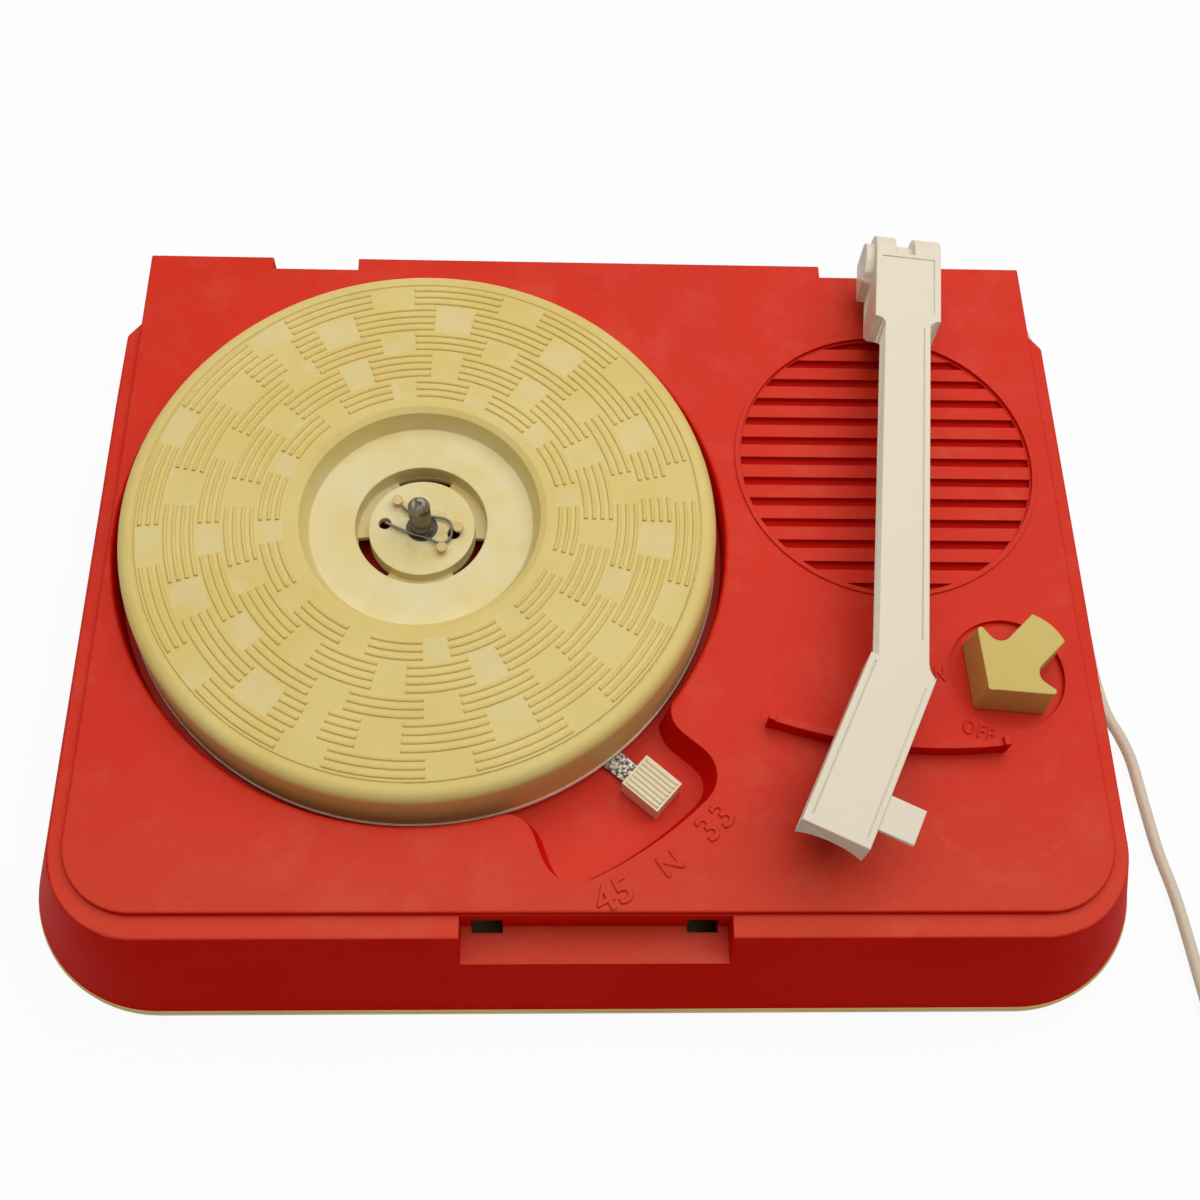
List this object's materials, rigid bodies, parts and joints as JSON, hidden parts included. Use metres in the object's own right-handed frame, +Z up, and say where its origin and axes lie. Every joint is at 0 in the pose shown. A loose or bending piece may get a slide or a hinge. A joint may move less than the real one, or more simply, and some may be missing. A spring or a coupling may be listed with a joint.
{
  "type": "children's record player",
  "caption": "Portable record player without its lid: red case, sunk platter driven by an idler, swinging and lifting tonearm, speed lever, speaker grille and arrow knob.",
  "frame": {"origin": "middle of the case's box on the floor plane under its feet", "axes": "+X to the right, +Y to the back where the lid hinges sit, +Z up"},
  "size_m": [0.472, 0.3992, 0.078],
  "materials": {
    "case_red": "satin moulded plastic",
    "tray_cream": "satin moulded plastic",
    "foot_rubber": "matte",
    "screw_steel": "zinc plated",
    "spindle_steel": "worn turned steel",
    "bush_dark": "oiled",
    "washer_brass": "plain",
    "platter_cream": "satin moulded plastic",
    "clip_wire": "bent spring wire",
    "motor_steel": "laminated sheet",
    "motor_copper": "varnished winding",
    "plate_steel": "stamped",
    "pulley_brass": "turned",
    "wheel_dark": "moulded",
    "tyre_rubber": "ground rubber",
    "lever_steel": "stamped strip",
    "cap_ivory": "ribbed",
    "arm_white": "satin moulded plastic",
    "turret_white": "satin moulded plastic",
    "cartridge_dark": "moulded",
    "stylus_red": "moulded",
    "cone_paper": "pressed paper",
    "magnet_dark": "ferrite and steel",
    "cloth_dark": "woven",
    "board_brown": "phenolic board",
    "parts_blue": "sleeved parts",
    "switch_brown": "moulded",
    "shaft_white": "moulded",
    "knob_cream": "satin moulded plastic",
    "cord_ivory": "soft plastic",
    "tie_black": "plastic strip",
    "plug_ivory": "moulded",
    "pin_brass": "plated"
  },
  "bodies": {
    "case": {"top_case": "case_red", "base_tray": "tray_cream", "feet": "foot_rubber", "case_screws": "screw_steel", "spindle": "spindle_steel", "thrust_washer": "washer_brass", "motor_core": "motor_steel", "motor_coil": "motor_copper", "motor_plate": "plate_steel", "motor_screws": "screw_steel", "idler_arm": "plate_steel", "idler_pin": "spindle_steel", "lever_pivot": "screw_steel", "speaker_frame": "plate_steel", "speaker_cone": "cone_paper", "speaker_magnet": "magnet_dark", "grille_cloth": "cloth_dark", "speaker_screws": "screw_steel", "amp_board": "board_brown", "board_parts": "parts_blue", "switch_body": "switch_brown", "strain_relief": "cord_ivory", "cord_run": "cord_ivory", "cord_coil": "cord_ivory", "cord_tie": "tie_black", "cord_tail": "cord_ivory", "plug_body": "plug_ivory", "plug_pins": "pin_brass"},
    "platter": {"platter": "platter_cream", "spindle_bush": "bush_dark", "platter_clip": "clip_wire"},
    "rotor": {"motor_rotor": "pulley_brass"},
    "idler": {"idler_wheel": "wheel_dark", "idler_tyre": "tyre_rubber"},
    "lever": {"speed_lever": "lever_steel", "lever_cap": "cap_ivory"},
    "turret": {"arm_turret": "turret_white", "lift_pin": "spindle_steel", "turret_clip": "clip_wire"},
    "arm": {"tonearm": "arm_white", "cartridge": "cartridge_dark", "stylus": "stylus_red"},
    "switch_knob": {"knob": "knob_cream", "switch_shaft": "shaft_white"}
  },
  "joints": [
    {"name": "platter_spin", "type": "hinge", "parent": "case", "child": "platter", "pos_m": [-0.057, 0.018, 0.061], "axis": [0, 0, 1], "continuous": true},
    {"name": "idler_spin", "type": "hinge", "parent": "case", "child": "idler", "pos_m": [-0.08332, -0.05432, 0.052], "axis": [0, 0, 1], "continuous": true},
    {"name": "motor_spin", "type": "hinge", "parent": "case", "child": "rotor", "pos_m": [-0.06296, -0.0561, 0.04], "axis": [0, 0, 1], "continuous": true},
    {"name": "speed_swing", "type": "hinge", "parent": "case", "child": "lever", "pos_m": [-0.035, -0.0225, 0.0373], "axis": [0, 0, 1], "range_deg": [-23, 0]},
    {"name": "arm_swing", "type": "hinge", "parent": "case", "child": "turret", "pos_m": [0.1095, 0.106, 0.05], "axis": [0, 0, 1], "range_deg": [-36, 10]},
    {"name": "arm_lift", "type": "hinge", "parent": "turret", "child": "arm", "pos_m": [0.11059, 0.11544, 0.067], "axis": [-0.9934, 0.1149, 0], "range_deg": [0, 25]},
    {"name": "knob_turn", "type": "hinge", "parent": "case", "child": "switch_knob", "pos_m": [0.1339, -0.0325, 0.047], "axis": [0, 0, 1], "range_deg": [-50, 0]}
  ],
  "couplings": [
    {"joint": "idler_spin", "follows": "platter_spin", "ratio": 5.2778},
    {"joint": "motor_spin", "follows": "platter_spin", "ratio": -39.583}
  ]
}
